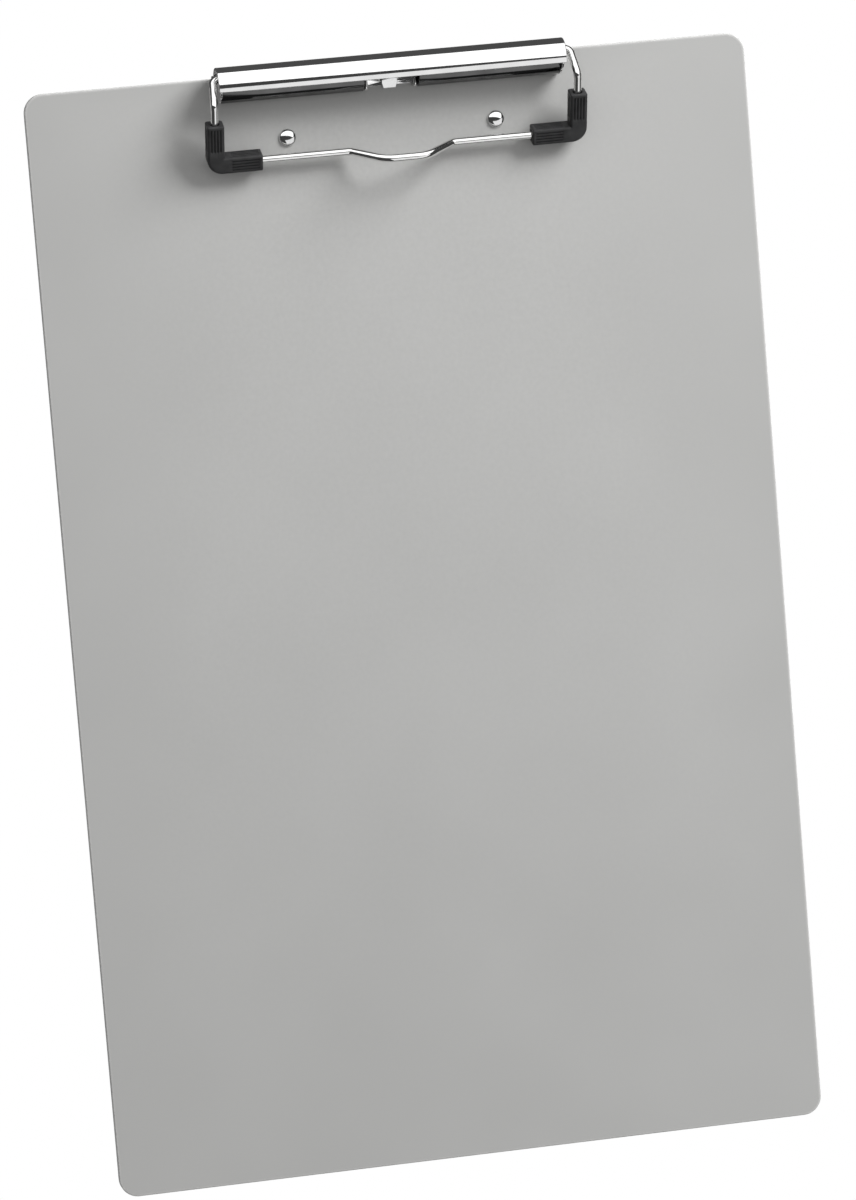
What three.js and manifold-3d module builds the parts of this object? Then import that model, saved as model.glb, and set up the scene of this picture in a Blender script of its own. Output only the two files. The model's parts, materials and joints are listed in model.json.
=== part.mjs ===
// A clipboard: a flat writing board with a chromed tube clip along its top edge.
// Millimetres. X runs across the board, Y towards the clip and Z up out of the writing face.
// The origin is the middle of the board's back face.
import * as THREE from 'three';
import { mergeVertices } from 'three/addons/utils/BufferGeometryUtils.js';
import Module from 'manifold-3d';

const wasm = await Module();
wasm.setup();

// Board
const boardWidth = 230;
const boardLength = 350;
const boardThickness = 2.5;
const boardCornerRadius = 6;

// Clip spine: one sheet from behind the board, round its top edge and over into an open tube
const sheetThickness = 0.8;
const restingGap = 0.05;
const spineLength = 110.6;
const spineRadius = 5.7;
const spineOverhang = 3.6;
const lipAngle = 112;
const backFlangeDepth = 29;
const backFlangeCornerRadius = 4;

// Bail: one bent wire that swings in the ends of the spine
const wireRadius = 1.25;
const legSpacing = 115.6;
const bailSideways = 0.5;
const hingeSplay = 1;
const barReach = 26.1;
const legSlope = 23.5;
const legLength = 19.8;
const hingeBendRadius = 2.2;
const kneeBendRadius = 2.5;
const cornerBendRadius = 3;
const fingerLift = 7.5;
const fingerLiftFlat = 13;
const fingerLiftRamp = 9.7;
const fingerLiftOffset = 2;
const fingerLiftBendRadius = 9;
const fingerLiftFootRadius = 3;
const stubSpacing = 3.4;
const stubBendRadius = 1.6;
const stubTipMargin = 1.25;
const stubDroop = 35;

// Corner caps
const capWidth = 5.4;
const capBarLength = 17.4;
const capLegLength = 16.3;
const capOuterRadius = 4.8;
const capBevel = 0.7;
const capBoreClearance = 0.3;
const capFloorGap = 0.1;

// Torsion springs
const springWireRadius = 0.55;
const springWholeTurns = 3;
const coilClearance = 0.2;
const coilWallClearance = 0.25;
const coilInnerEnd = 3.6;
const coilOuterEnd = 7.8;
const movingArmLength = 2.8;
const movingArmHook = 2.6;
const armBendRadius = 0.8;
const hookFloorGap = 0.3;
const hookEdgeClearance = 0.12;

// Spring carrier: the strip inside the spine that holds the bail's ends and the springs
const carrierThickness = 0.7;
const carrierInset = 0.6;
const carrierWallRadius = 4.6;
const carrierWallRise = 2.6;
const carrierWallTopAngle = 102;
const springWindowHalf = 8.7;
const earFootLength = 6;
const earEdgeProud = 0.1;
const earWallGap = 0.1;
const earTubeClearance = 0.5;
const earHoleClearance = 0.3;
const tongueWidth = 5;
const tongueNeckWidth = 3.4;
const tongueFoldRadius = 0.42;
const tongueFrontSlope = 22;
const tongueFrontRun = 1.3;
const tongueTopSlope = 8;
const tongueTopRun = 2.6;

// Rivets
const rivetSpacing = 66.6;
const rivetSetback = 20.2;
const rivetHeadRadius = 2.75;
const rivetHeadHeight = 1.3;
const rivetShankRadius = 1.6;
const rivetHoleClearance = 0.15;
const rivetTailRadius = 2.5;
const rivetTailHeight = 0.8;
const rivetDimpleRadius = 1.1;

// Facets
const bendSegments = 5;
const wireSides = 12;
const springSides = 8;
const springStepsPerTurn = 14;
const tubeSegments = 26;
const domeSegments = 6;
const cornerSegments = 8;
const holeSegments = 24;
const lobeSegments = 36;

// How far a cutting shape reaches past what it cuts, and the radius of a corner left square
const cutMargin = 1;
const squareCorner = 0.01;

// Places that several pieces share
const boardTop = boardLength / 2;
const tubeY = boardTop + spineOverhang - spineRadius;
const tubeZ = boardThickness + spineRadius;
const tubeCentreRadius = spineRadius - sheetThickness / 2;
const frontEdgeY = tubeY - spineRadius;
const coilRadius = wireRadius + coilClearance + springWireRadius;
const coilOuterRadius = coilRadius + springWireRadius;
const pivotY = tubeY + spineRadius - sheetThickness - coilOuterRadius - coilWallClearance;
const pivotZ = tubeZ;
const rivetY = boardTop - rivetSetback;
const carrierFlatZ = boardThickness + restingGap + carrierThickness / 2;
const carrierWallY = frontEdgeY + carrierWallRadius;
const carrierWallZ = boardThickness + carrierWallRise;
const windowEdgeY = frontEdgeY + hookEdgeClearance + 2 * springWireRadius;
const slopeRadians = THREE.MathUtils.degToRad(legSlope);
const slopeUp = new THREE.Vector3(0, Math.cos(slopeRadians), Math.sin(slopeRadians));
const slopeNormal = new THREE.Vector3(0, -Math.sin(slopeRadians), Math.cos(slopeRadians));
const capHalfFlat = capWidth / 2 - capBevel;
const capLowestCorner = capHalfFlat * Math.sin(slopeRadians) + (capWidth / 2) * Math.cos(slopeRadians);
const barY = pivotY - barReach;
const barZ = boardThickness + capFloorGap + capLowestCorner;
const droopRadians = THREE.MathUtils.degToRad(stubDroop);
const stubDirection = new THREE.Vector3(0, -Math.cos(droopRadians), -Math.sin(droopRadians));
const stubOpeningSide = new THREE.Vector3(0, -Math.sin(droopRadians), Math.cos(droopRadians));
const stubReach = coilOuterRadius + stubTipMargin;

const group = new THREE.Group();

const boardGrey = { color: 0xb0b0ae, roughness: 0.45, metalness: 0 };
const chrome = { color: 0xdcdcdc, roughness: 0.08, metalness: 1 };
const springSteel = { color: 0xb8b8b6, roughness: 0.2, metalness: 1 };
const blackPlastic = { color: 0x262626, roughness: 0.55, metalness: 0 };

function addPiece(name, geometry, look) {
  const mesh = new THREE.Mesh(geometry, new THREE.MeshStandardMaterial(look));
  mesh.name = name;
  group.add(mesh);
}

// A three.js geometry as a solid that can be joined and cut
function solidOf(geometry) {
  const bare = geometry.clone();
  bare.deleteAttribute('normal');
  bare.deleteAttribute('uv');
  const merged = mergeVertices(bare, 1e-5);
  const vertProperties = new Float32Array(merged.attributes.position.array);
  const triVerts = new Uint32Array(merged.index.array);
  return new wasm.Manifold(new wasm.Mesh({ numProp: 3, vertProperties, triVerts }));
}

function geometryOf(solid) {
  const mesh = solid.getMesh();
  const geometry = new THREE.BufferGeometry();
  geometry.setAttribute('position', new THREE.BufferAttribute(mesh.vertProperties, mesh.numProp));
  geometry.setIndex(new THREE.BufferAttribute(mesh.triVerts, 1));
  geometry.computeVertexNormals();
  return geometry;
}

function arcPoints(centreX, centreY, radius, fromDegrees, toDegrees, segments) {
  const points = [];
  for (let i = 0; i <= segments; i += 1) {
    const angle = THREE.MathUtils.degToRad(fromDegrees + ((toDegrees - fromDegrees) * i) / segments);
    points.push(new THREE.Vector2(centreX + radius * Math.cos(angle), centreY + radius * Math.sin(angle)));
  }
  return points;
}

function circlePoints(centreX, centreY, radius, segments) {
  return arcPoints(centreX, centreY, radius, 0, 360 - 360 / segments, segments - 1);
}

// The two faces of a bent sheet: its centre line moved half a thickness to each side
function sheetFaces(centreLine, thickness) {
  const left = [];
  const right = [];
  centreLine.forEach((point, i) => {
    const before = centreLine[Math.max(i - 1, 0)];
    const after = centreLine[Math.min(i + 1, centreLine.length - 1)];
    const incoming = point.clone().sub(before).normalize();
    const outgoing = after.clone().sub(point).normalize();
    const heading = incoming.clone().add(outgoing).normalize();
    const isEnd = i === 0 || i === centreLine.length - 1;
    const reach = isEnd ? thickness / 2 : thickness / 2 / heading.dot(incoming);
    const side = new THREE.Vector2(-heading.y, heading.x).multiplyScalar(reach);
    left.push(point.clone().add(side));
    right.push(point.clone().sub(side));
  });
  return { left, right };
}

function sheetOutline(centreLine, thickness) {
  const { left, right } = sheetFaces(centreLine, thickness);
  return right.concat(left.reverse());
}

// A section drawn in (Y, Z), pulled along X between two places
function pullAcross(outline, fromX, toX) {
  const shape = new THREE.Shape(outline);
  const geometry = new THREE.ExtrudeGeometry(shape, { depth: toX - fromX, bevelEnabled: false });
  const acrossY = new THREE.Vector3(0, 1, 0);
  const acrossZ = new THREE.Vector3(0, 0, 1);
  const acrossX = new THREE.Vector3(1, 0, 0);
  geometry.applyMatrix4(new THREE.Matrix4().makeBasis(acrossY, acrossZ, acrossX));
  return geometry.translate(fromX, 0, 0);
}

// A plan drawn in (X, Y), pulled up along Z between two heights
function pullUp(shape, fromZ, toZ) {
  const settings = { depth: toZ - fromZ, bevelEnabled: false, curveSegments: cornerSegments };
  return new THREE.ExtrudeGeometry(shape, settings).translate(0, 0, fromZ);
}

function boxBetween(low, high) {
  const geometry = new THREE.BoxGeometry(high.x - low.x, high.y - low.y, high.z - low.z);
  return geometry.translate((low.x + high.x) / 2, (low.y + high.y) / 2, (low.z + high.z) / 2);
}

function roundedRectangle(left, bottom, right, top, lowerRadius, upperRadius) {
  const shape = new THREE.Shape();
  shape.moveTo(left + lowerRadius, bottom);
  shape.lineTo(right - lowerRadius, bottom);
  shape.absarc(right - lowerRadius, bottom + lowerRadius, lowerRadius, -Math.PI / 2, 0);
  shape.lineTo(right, top - upperRadius);
  shape.absarc(right - upperRadius, top - upperRadius, upperRadius, 0, Math.PI / 2);
  shape.lineTo(left + upperRadius, top);
  shape.absarc(left + upperRadius, top - upperRadius, upperRadius, Math.PI / 2, Math.PI);
  shape.lineTo(left, bottom + lowerRadius);
  shape.absarc(left + lowerRadius, bottom + lowerRadius, lowerRadius, Math.PI, 1.5 * Math.PI);
  return shape;
}

// A path through given stations, so that a sweep has a ring exactly at each of them
class StationPath extends THREE.Curve {
  constructor(stations) {
    super();
    this.stations = stations;
  }

  getPoint(t, target = new THREE.Vector3()) {
    const place = t * (this.stations.length - 1);
    const index = Math.min(Math.floor(place + 1e-6), this.stations.length - 2);
    return target.copy(this.stations[index]).lerp(this.stations[index + 1], place - index);
  }

  getPointAt(u, target) {
    return this.getPoint(u, target);
  }

  getTangentAt(u, target = new THREE.Vector3()) {
    const place = Math.round(u * (this.stations.length - 1));
    const here = this.stations[place];
    const before = this.stations[Math.max(place - 1, 0)];
    const after = this.stations[Math.min(place + 1, this.stations.length - 1)];
    const incoming = here.clone().sub(before).normalize();
    const outgoing = after.clone().sub(here).normalize();
    return target.copy(incoming).add(outgoing).normalize();
  }
}

// Stations along a bent wire: the corner points with each corner rounded to its bend radius
function bentRoute(corners) {
  const stations = [corners[0].at];
  for (let i = 1; i < corners.length - 1; i += 1) {
    const incoming = corners[i].at.clone().sub(corners[i - 1].at).normalize();
    const outgoing = corners[i + 1].at.clone().sub(corners[i].at).normalize();
    const turn = incoming.angleTo(outgoing);
    const axis = incoming.clone().cross(outgoing).normalize();
    const setback = corners[i].bend * Math.tan(turn / 2);
    const bendStart = corners[i].at.clone().addScaledVector(incoming, -setback);
    const towardsCentre = axis.clone().cross(incoming);
    const centre = bendStart.clone().addScaledVector(towardsCentre, corners[i].bend);
    const spoke = bendStart.clone().sub(centre);
    for (let k = 0; k <= bendSegments; k += 1) {
      const turned = spoke.clone().applyAxisAngle(axis, (turn * k) / bendSegments);
      stations.push(turned.add(centre));
    }
  }
  stations.push(corners[corners.length - 1].at);
  return stations;
}

function sweepWire(stations, radius, sides) {
  const section = new THREE.Shape(circlePoints(0, 0, radius, sides));
  const extrudePath = new StationPath(stations);
  const settings = { steps: stations.length - 1, extrudePath, bevelEnabled: false };
  return new THREE.ExtrudeGeometry(section, settings);
}

function writingBoard() {
  const halfWidth = boardWidth / 2;
  const corner = boardCornerRadius;
  const shape = roundedRectangle(-halfWidth, -boardTop, halfWidth, boardTop, corner, corner);
  const holeRadius = rivetShankRadius + rivetHoleClearance;
  for (const side of [-1, 1]) {
    const hole = new THREE.Path();
    hole.absarc((side * rivetSpacing) / 2, rivetY, holeRadius, 0, 2 * Math.PI, true);
    shape.holes.push(hole);
  }
  return pullUp(shape, 0, boardThickness);
}

// Flat behind the board, up past its top edge, then round the tube to the lip
function spineCentreLine() {
  const flatZ = -restingGap - sheetThickness / 2;
  const wallY = boardTop + restingGap + sheetThickness / 2;
  const tightBend = restingGap + sheetThickness / 2;
  const joinAngle = -THREE.MathUtils.radToDeg(Math.acos((wallY - tubeY) / tubeCentreRadius));
  const wrap = arcPoints(wallY - tightBend, flatZ + tightBend, tightBend, -90, 0, bendSegments);
  const tube = arcPoints(tubeY, tubeZ, tubeCentreRadius, joinAngle, lipAngle, tubeSegments);
  return [new THREE.Vector2(boardTop - backFlangeDepth, flatZ), ...wrap, ...tube];
}

function clipSpine() {
  const half = spineLength / 2;
  const sheet = solidOf(pullAcross(sheetOutline(spineCentreLine(), sheetThickness), -half, half));
  const flangeEnd = boardTop - backFlangeDepth;
  const pastTube = tubeY + 2 * spineRadius;
  const plan = roundedRectangle(-half, flangeEnd, half, pastTube, backFlangeCornerRadius, squareCorner);
  const trimmed = solidOf(pullUp(plan, -boardThickness, tubeZ + 2 * spineRadius));
  return geometryOf(sheet.intersect(trimmed).subtract(rivetHoles()));
}

function rivetHoles() {
  const radius = rivetShankRadius + rivetHoleClearance;
  const flangeZ = -restingGap - sheetThickness / 2;
  let holes = null;
  for (const side of [-1, 1]) {
    const drill = new THREE.CylinderGeometry(radius, radius, sheetThickness + 2 * cutMargin, holeSegments);
    drill.rotateX(Math.PI / 2).translate((side * rivetSpacing) / 2, rivetY, flangeZ);
    holes = holes ? holes.add(solidOf(drill)) : solidOf(drill);
  }
  return holes;
}

// Flat on the board, then up in a bulging wall that ends under the spine's lip
function carrierCentreLine() {
  const radius = carrierWallRadius - carrierThickness / 2;
  const footAngle = THREE.MathUtils.radToDeg(Math.asin((carrierWallZ - carrierFlatZ) / radius));
  const wallStart = 180 + footAngle;
  const wallEnd = carrierWallTopAngle;
  const wall = arcPoints(carrierWallY, carrierWallZ, radius, wallStart, wallEnd, 2 * bendSegments);
  return [new THREE.Vector2(boardTop, carrierFlatZ), ...wall];
}

// Folded back over the flat strip at its front edge, in two gentle slopes with a crease between them
function carrierTongue() {
  const foldY = frontEdgeY + tongueFoldRadius + carrierThickness / 2;
  const foldZ = carrierFlatZ + tongueFoldRadius;
  const fold = arcPoints(foldY, foldZ, tongueFoldRadius, 270, 90 + tongueFrontSlope, bendSegments);
  const frontRise = tongueFrontRun * Math.tan(THREE.MathUtils.degToRad(tongueFrontSlope));
  const topRise = tongueTopRun * Math.tan(THREE.MathUtils.degToRad(tongueTopSlope));
  const crease = fold[fold.length - 1].clone().add(new THREE.Vector2(tongueFrontRun, frontRise));
  const end = crease.clone().add(new THREE.Vector2(tongueTopRun, topRise));
  const line = [new THREE.Vector2(windowEdgeY + tongueTopRun, carrierFlatZ), ...fold, crease, end];
  const halfWide = tongueWidth / 2;
  const halfNeck = tongueNeckWidth / 2;
  const strip = solidOf(pullAcross(sheetOutline(line, carrierThickness), -halfWide, halfWide));
  const plan = new THREE.Shape();
  plan.moveTo(-halfNeck, frontEdgeY - carrierThickness);
  plan.lineTo(halfNeck, frontEdgeY - carrierThickness);
  plan.lineTo(halfWide, crease.x);
  plan.lineTo(halfWide, boardTop);
  plan.lineTo(-halfWide, boardTop);
  plan.lineTo(-halfWide, crease.x);
  return strip.intersect(solidOf(pullUp(plan, 0, tubeZ)));
}

// A plate across each end, with the hole that the bail turns in
function carrierEar(side) {
  const outer = side * (spineLength / 2 - carrierInset);
  const inner = outer - side * carrierThickness;
  const near = Math.min(outer, inner);
  const far = Math.max(outer, inner);
  const tubeRadius = spineRadius - sheetThickness - earTubeClearance;
  const inTube = circlePoints(tubeY, tubeZ, tubeRadius, lobeSegments);
  const atWall = circlePoints(carrierWallY, carrierWallZ, carrierWallRadius + earEdgeProud, lobeSegments);
  const low = new THREE.Vector3(near - cutMargin, frontEdgeY - cutMargin, boardThickness + restingGap);
  const high = new THREE.Vector3(far + cutMargin, boardTop, tubeZ + spineRadius);
  const foot = solidOf(pullAcross(atWall, near, far)).intersect(solidOf(boxBetween(low, high)));
  const hole = circlePoints(pivotY, pivotZ, wireRadius + earHoleClearance, holeSegments);
  const drill = solidOf(pullAcross(hole, near - cutMargin, far + cutMargin));
  return solidOf(pullAcross(inTube, near, far)).add(foot).subtract(drill);
}

// The strip's plain stretch that carries an ear past the end of the wall
function carrierFoot(side) {
  const outerX = side * (spineLength / 2 - carrierInset - carrierThickness / 2);
  const innerX = outerX - side * earFootLength;
  const bottomZ = boardThickness + restingGap;
  const low = new THREE.Vector3(Math.min(outerX, innerX), windowEdgeY, bottomZ);
  const high = new THREE.Vector3(Math.max(outerX, innerX), boardTop, bottomZ + carrierThickness);
  return solidOf(boxBetween(low, high));
}

function springCarrier() {
  const wallHalf = spineLength / 2 - carrierInset - carrierThickness - earWallGap;
  const wall = pullAcross(sheetOutline(carrierCentreLine(), carrierThickness), -wallHalf, wallHalf);
  const topZ = tubeZ + spineRadius;
  const frontLow = new THREE.Vector3(-springWindowHalf, frontEdgeY - cutMargin, boardThickness - cutMargin);
  const frontHigh = new THREE.Vector3(springWindowHalf, windowEdgeY, topZ);
  const stripLow = new THREE.Vector3(-springWindowHalf, windowEdgeY, carrierFlatZ + carrierThickness);
  const stripHigh = new THREE.Vector3(springWindowHalf, pivotY, topZ);
  const window = solidOf(boxBetween(frontLow, frontHigh)).add(solidOf(boxBetween(stripLow, stripHigh)));
  let carrier = solidOf(wall).subtract(window);
  for (const side of [-1, 1]) {
    carrier = carrier.add(carrierFoot(side)).add(carrierEar(side));
  }
  return geometryOf(carrier.add(carrierTongue()));
}

function alongBail(x, alongLeg, offPlane) {
  const point = new THREE.Vector3(x, barY, barZ);
  return point.addScaledVector(slopeUp, alongLeg).addScaledVector(slopeNormal, offPlane);
}

// Corner points of the whole bail, from the left stub round to the right one
function bailCorners() {
  const halfStubs = stubSpacing / 2;
  const corners = [];
  for (const side of [-1, 1]) {
    const legX = (side * legSpacing) / 2 + bailSideways;
    const stub = new THREE.Vector3(side * halfStubs, pivotY, pivotZ);
    const run = [
      { at: stub.clone().addScaledVector(stubDirection, stubReach) },
      { at: stub, bend: stubBendRadius },
      { at: new THREE.Vector3(legX - side * hingeSplay, pivotY, pivotZ), bend: hingeBendRadius },
      { at: alongBail(legX, legLength, 0), bend: kneeBendRadius },
      { at: alongBail(legX, 0, 0), bend: cornerBendRadius },
    ];
    const rampStart = fingerLiftOffset + side * (fingerLiftFlat / 2 + fingerLiftRamp);
    const rampTop = fingerLiftOffset + (side * fingerLiftFlat) / 2;
    run.push({ at: alongBail(rampStart, 0, 0), bend: fingerLiftFootRadius });
    run.push({ at: alongBail(rampTop, 0, fingerLift), bend: fingerLiftBendRadius });
    corners.push(...(side < 0 ? run : run.reverse()));
  }
  return corners;
}

function wireBail() {
  return sweepWire(bentRoute(bailCorners()), wireRadius, wireSides);
}

// The cap in its own plane: legs along +X and +Y from the outside corner
function capOutline() {
  const shape = new THREE.Shape();
  const low = -capWidth / 2;
  const high = capWidth / 2;
  shape.moveTo(low, low + capOuterRadius);
  shape.absarc(low + capOuterRadius, low + capOuterRadius, capOuterRadius, Math.PI, 1.5 * Math.PI);
  shape.lineTo(low + capBarLength, low);
  shape.lineTo(low + capBarLength, high);
  shape.lineTo(high, high);
  shape.lineTo(high, low + capLegLength);
  shape.lineTo(low, low + capLegLength);
  return shape;
}

// Built as the right-hand one, then mirrored for the left
function cornerCap(side) {
  const legX = legSpacing / 2 + side * bailSideways;
  const settings = {
    depth: capWidth - 2 * capBevel,
    bevelThickness: capBevel,
    bevelSize: capBevel,
    bevelOffset: -capBevel,
    bevelSegments: 1,
    curveSegments: 6,
  };
  const body = new THREE.ExtrudeGeometry(capOutline(), settings);
  body.translate(0, 0, capBevel - capWidth / 2);
  const inward = new THREE.Vector3(-1, 0, 0);
  const basis = new THREE.Matrix4().makeBasis(inward, slopeUp, inward.clone().cross(slopeUp));
  body.applyMatrix4(basis);
  const corner = alongBail(legX, 0, 0);
  body.translate(corner.x, corner.y, corner.z);
  const past = capWidth;
  const boreRoute = bentRoute([
    { at: alongBail(legX, capLegLength + past, 0) },
    { at: corner, bend: cornerBendRadius },
    { at: alongBail(legX - capBarLength - past, 0, 0) },
  ]);
  const bore = solidOf(sweepWire(boreRoute, wireRadius + capBoreClearance, wireSides));
  const cap = solidOf(body).subtract(bore);
  return geometryOf(side > 0 ? cap : cap.mirror([1, 0, 0]));
}

// From the hook over the carrier's front edge, round the coil and out along the arm on the bail's stub
function torsionSpring(side) {
  const bottomZ = pivotZ - coilRadius;
  const outerX = side * coilOuterEnd;
  const innerX = side * coilInnerEnd;
  const hookY = windowEdgeY - hookEdgeClearance - springWireRadius;
  const hookTip = new THREE.Vector3(outerX, hookY, boardThickness + hookFloorGap);
  const hookTop = new THREE.Vector3(outerX, hookY, bottomZ);
  const coilStart = new THREE.Vector3(outerX, pivotY, bottomZ);
  const stations = bentRoute([{ at: hookTip }, { at: hookTop, bend: armBendRadius }, { at: coilStart }]);
  const startDegrees = -90;
  const endDegrees = 90 + stubDroop + 360 * springWholeTurns;
  const steps = Math.round(((endDegrees - startDegrees) / 360) * springStepsPerTurn);
  for (let i = 1; i < steps; i += 1) {
    const share = i / steps;
    const angle = THREE.MathUtils.degToRad(startDegrees + (endDegrees - startDegrees) * share);
    const y = pivotY + coilRadius * Math.cos(angle);
    const z = pivotZ + coilRadius * Math.sin(angle);
    stations.push(new THREE.Vector3(outerX + (innerX - outerX) * share, y, z));
  }
  const coilEnd = new THREE.Vector3(innerX, pivotY, pivotZ).addScaledVector(stubOpeningSide, coilRadius);
  const armTurn = coilEnd.clone().addScaledVector(stubDirection, movingArmLength);
  const armTip = armTurn.clone().add(new THREE.Vector3(-side * movingArmHook, 0, 0));
  stations.push(...bentRoute([{ at: coilEnd }, { at: armTurn, bend: armBendRadius }, { at: armTip }]));
  return sweepWire(stations, springWireRadius, springSides);
}

function rivet(side) {
  const headBase = boardThickness + restingGap;
  const tailTop = -2 * restingGap - sheetThickness;
  const tailBottom = tailTop - rivetTailHeight;
  const profile = [new THREE.Vector2(0, tailBottom + rivetTailHeight / 2)];
  profile.push(new THREE.Vector2(rivetDimpleRadius, tailBottom));
  profile.push(new THREE.Vector2(rivetTailRadius - rivetTailHeight / 2, tailBottom));
  profile.push(new THREE.Vector2(rivetTailRadius, tailBottom + rivetTailHeight / 2));
  profile.push(new THREE.Vector2(rivetTailRadius, tailTop));
  profile.push(new THREE.Vector2(rivetShankRadius, tailTop));
  profile.push(new THREE.Vector2(rivetShankRadius, headBase));
  for (let i = 0; i < domeSegments; i += 1) {
    const angle = (i / domeSegments) * (Math.PI / 2);
    const height = headBase + rivetHeadHeight * Math.sin(angle);
    profile.push(new THREE.Vector2(rivetHeadRadius * Math.cos(angle), height));
  }
  profile.push(new THREE.Vector2(0, headBase + rivetHeadHeight));
  const geometry = new THREE.LatheGeometry(profile, holeSegments);
  return geometry.rotateX(Math.PI / 2).translate((side * rivetSpacing) / 2, rivetY, 0);
}

addPiece('writing_board', writingBoard(), boardGrey);
addPiece('clip_spine', clipSpine(), chrome);
addPiece('spring_carrier', springCarrier(), chrome);
addPiece('wire_bail', wireBail(), chrome);
for (const [hand, side] of [['left', -1], ['right', 1]]) {
  addPiece(`${hand}_corner_cap`, cornerCap(side), blackPlastic);
  addPiece(`${hand}_torsion_spring`, torsionSpring(side), springSteel);
  addPiece(`${hand}_rivet`, rivet(side), chrome);
}

export default group;
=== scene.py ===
import json
import math

import bmesh
import bpy
from mathutils import Matrix, Quaternion, Vector
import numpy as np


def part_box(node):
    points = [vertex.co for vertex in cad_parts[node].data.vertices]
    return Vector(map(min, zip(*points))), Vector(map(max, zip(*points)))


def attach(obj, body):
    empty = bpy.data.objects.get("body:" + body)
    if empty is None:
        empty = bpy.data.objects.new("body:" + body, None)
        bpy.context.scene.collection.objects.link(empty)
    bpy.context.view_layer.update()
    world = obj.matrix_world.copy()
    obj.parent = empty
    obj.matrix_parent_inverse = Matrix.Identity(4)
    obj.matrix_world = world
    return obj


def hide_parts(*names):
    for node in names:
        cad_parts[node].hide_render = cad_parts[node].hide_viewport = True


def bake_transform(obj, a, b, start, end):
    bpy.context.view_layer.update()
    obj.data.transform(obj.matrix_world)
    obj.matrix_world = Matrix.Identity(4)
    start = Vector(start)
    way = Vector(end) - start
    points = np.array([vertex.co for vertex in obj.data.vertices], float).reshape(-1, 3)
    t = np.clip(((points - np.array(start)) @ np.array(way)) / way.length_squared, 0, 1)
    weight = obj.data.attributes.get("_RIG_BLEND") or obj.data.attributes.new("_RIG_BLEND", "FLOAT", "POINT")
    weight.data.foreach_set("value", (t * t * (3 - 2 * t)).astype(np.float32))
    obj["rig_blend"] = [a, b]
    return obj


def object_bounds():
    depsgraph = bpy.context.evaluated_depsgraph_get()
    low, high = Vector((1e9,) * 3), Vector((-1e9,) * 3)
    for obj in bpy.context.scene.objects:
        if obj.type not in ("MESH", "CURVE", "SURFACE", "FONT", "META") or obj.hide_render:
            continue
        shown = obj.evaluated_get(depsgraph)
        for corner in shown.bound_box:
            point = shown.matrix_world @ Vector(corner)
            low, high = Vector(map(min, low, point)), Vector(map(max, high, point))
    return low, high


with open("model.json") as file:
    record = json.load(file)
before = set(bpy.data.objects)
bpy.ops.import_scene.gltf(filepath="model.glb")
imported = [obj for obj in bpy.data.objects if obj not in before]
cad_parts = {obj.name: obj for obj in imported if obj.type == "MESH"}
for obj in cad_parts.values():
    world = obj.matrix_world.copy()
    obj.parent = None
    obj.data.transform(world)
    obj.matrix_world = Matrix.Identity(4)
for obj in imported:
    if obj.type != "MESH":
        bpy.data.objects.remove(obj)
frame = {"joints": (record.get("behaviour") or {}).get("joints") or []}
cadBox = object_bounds()

# Shapes are worked out in millimetres and turned into metres when a mesh is made.
# X runs across the board, Y towards the clip and Z up out of the writing face.
mm = 0.001
sides = {"left": -1, "right": 1}


def cadCorners(node):
    low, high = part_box(node)
    return low / mm, high / mm


boardLow, boardHigh = cadCorners("writing_board")
spineLow, spineHigh = cadCorners("clip_spine")
carrierLow, carrierHigh = cadCorners("spring_carrier")
hinge = Vector(frame["joints"][0]["pos_m"]) / mm
faceZ = boardHigh.z            # the writing face
topY = boardHigh.y             # the board's top edge
restGap = 0.05                 # air between pieces that touch


def arcPoints(centre, radius, fromDegrees, toDegrees, steps):
    points = []
    for i in range(steps + 1):
        angle = math.radians(fromDegrees + (toDegrees - fromDegrees) * i / steps)
        points.append(Vector((centre[0] + radius * math.cos(angle), centre[1] + radius * math.sin(angle))))
    return points


# A wire's or a sheet's centre line: corner points, each rounded to its own bend radius
def bentRoute(corners, steps):
    route = [corners[0][0]]
    for before, (corner, bend), after in zip(corners, corners[1:], corners[2:]):
        incoming = (corner - before[0]).normalized()
        outgoing = (after[0] - corner).normalized()
        turn = incoming.angle(outgoing)
        axis = incoming.cross(outgoing).normalized()
        start = corner - incoming * bend * math.tan(turn / 2)
        centre = start + axis.cross(incoming) * bend
        for k in range(steps + 1):
            route.append(centre + Quaternion(axis, turn * k / steps) @ (start - centre))
    route.append(corners[-1][0])
    return route


def newShape():
    bm = bmesh.new()
    bm.verts.layers.float.new("wear")     # 1 on edges and corners that hands rub
    return bm


def addRing(bm, points, wear=0.0):
    layer = bm.verts.layers.float["wear"]
    ring = []
    for point in points:
        vert = bm.verts.new(point)
        vert[layer] = wear
        ring.append(vert)
    return ring


def joinRings(bm, first, second):
    for i in range(len(first)):
        j = (i + 1) % len(first)
        bm.faces.new((first[i], first[j], second[j], second[i]))


# Closes a flat face that has one outline and any number of holes
def fillFace(bm, *rings):
    edges = []
    for ring in rings:
        for i in range(len(ring)):
            edge = bm.edges.get((ring[i - 1], ring[i]))
            edges.append(edge or bm.edges.new((ring[i - 1], ring[i])))
    bmesh.ops.triangle_fill(bm, use_beauty=True, edges=edges)


def finishShape(name, bm, sharpDegrees=40):
    bmesh.ops.remove_doubles(bm, verts=bm.verts, dist=1e-4)
    bmesh.ops.recalc_face_normals(bm, faces=bm.faces)
    bm.transform(Matrix.Scale(mm, 4))
    mesh = bpy.data.meshes.new(name)
    bm.to_mesh(mesh)
    bm.free()
    mesh.shade_smooth()
    mesh.set_sharp_from_angle(angle=math.radians(sharpDegrees))
    piece = bpy.data.objects.new(name, mesh)
    bpy.context.scene.collection.objects.link(piece)
    return piece


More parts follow.
